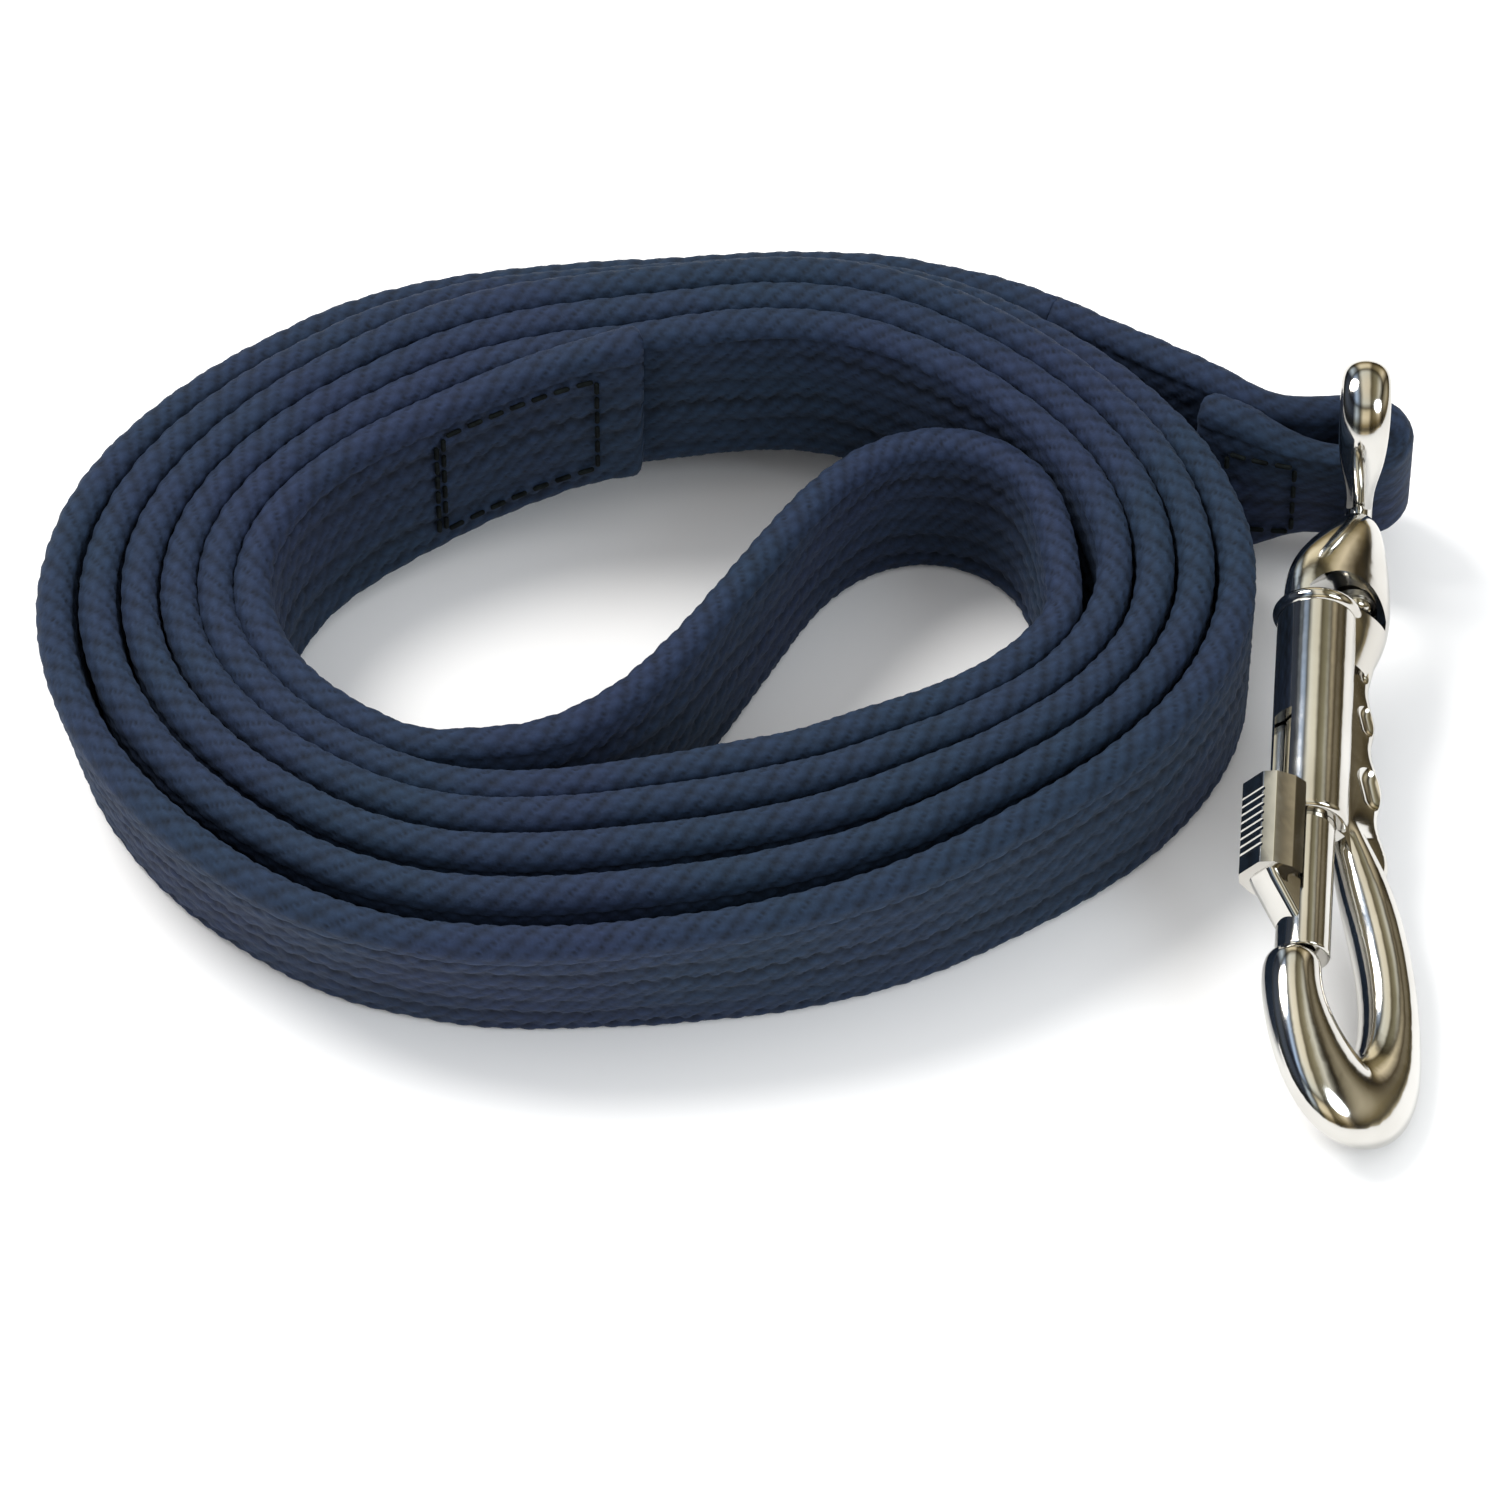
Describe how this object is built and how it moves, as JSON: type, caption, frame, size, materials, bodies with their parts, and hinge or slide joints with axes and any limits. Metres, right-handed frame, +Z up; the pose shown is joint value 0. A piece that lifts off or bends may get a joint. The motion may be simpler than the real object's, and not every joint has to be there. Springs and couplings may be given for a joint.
{
  "type": "lead rope",
  "caption": "Padded webbing lead for a horse, coiled flat on its edge, with a sewn hand loop and a swivel bolt snap.",
  "frame": {"origin": "middle of the coil, on the surface the lead rests on", "axes": "+Z up, +X from the middle of the coil towards the side where the snap lies, -Y along the snap from its eye to its hook"},
  "size_m": [0.1713, 0.1328, 0.0378],
  "materials": {
    "woven_cover": "matt woven navy",
    "filling": "soft undyed filling",
    "thread": "dark twisted thread",
    "plated_metal": "bright plated casting",
    "plain_steel": "plain steel"
  },
  "bodies": {
    "coil": {"webbing_cover": "woven_cover", "webbing_core": "filling", "loop_stitching": "thread"},
    "tail": {"tail_cover": "woven_cover", "tail_core": "filling", "snap_end_stitching": "thread"},
    "eye": {"swivel_eye": "plated_metal", "swivel_washer": "plain_steel"},
    "snap": {"snap_body": "plated_metal", "bolt_spring": "plain_steel"},
    "bolt": {"bolt": "plated_metal"}
  },
  "joints": [
    {"name": "tail_swing", "type": "hinge", "parent": "coil", "child": "tail", "pos_m": [0.05111, 0.045, 0.0125], "axis": [0, 0, 1], "range_deg": [0, 20]},
    {"name": "eye_swing", "type": "hinge", "parent": "tail", "child": "eye", "pos_m": [0.0894, 0.0266, 0.0188], "axis": [-0.0078, -0.1073, 0.9942], "range_deg": [0, 75]},
    {"name": "snap_swivel", "type": "hinge", "parent": "eye", "child": "snap", "pos_m": [0.08796, 0.00677, 0.01665], "axis": [-0.0721, -0.9916, -0.1075], "continuous": true},
    {"name": "bolt_slide", "type": "slide", "parent": "snap", "child": "bolt", "axis": [0.0721, 0.9916, 0.1075], "range_m": [0, 0.01], "stiffness_N_per_m": 300, "springref_m": -0.006, "deforming": ["bolt_spring"]}
  ]
}
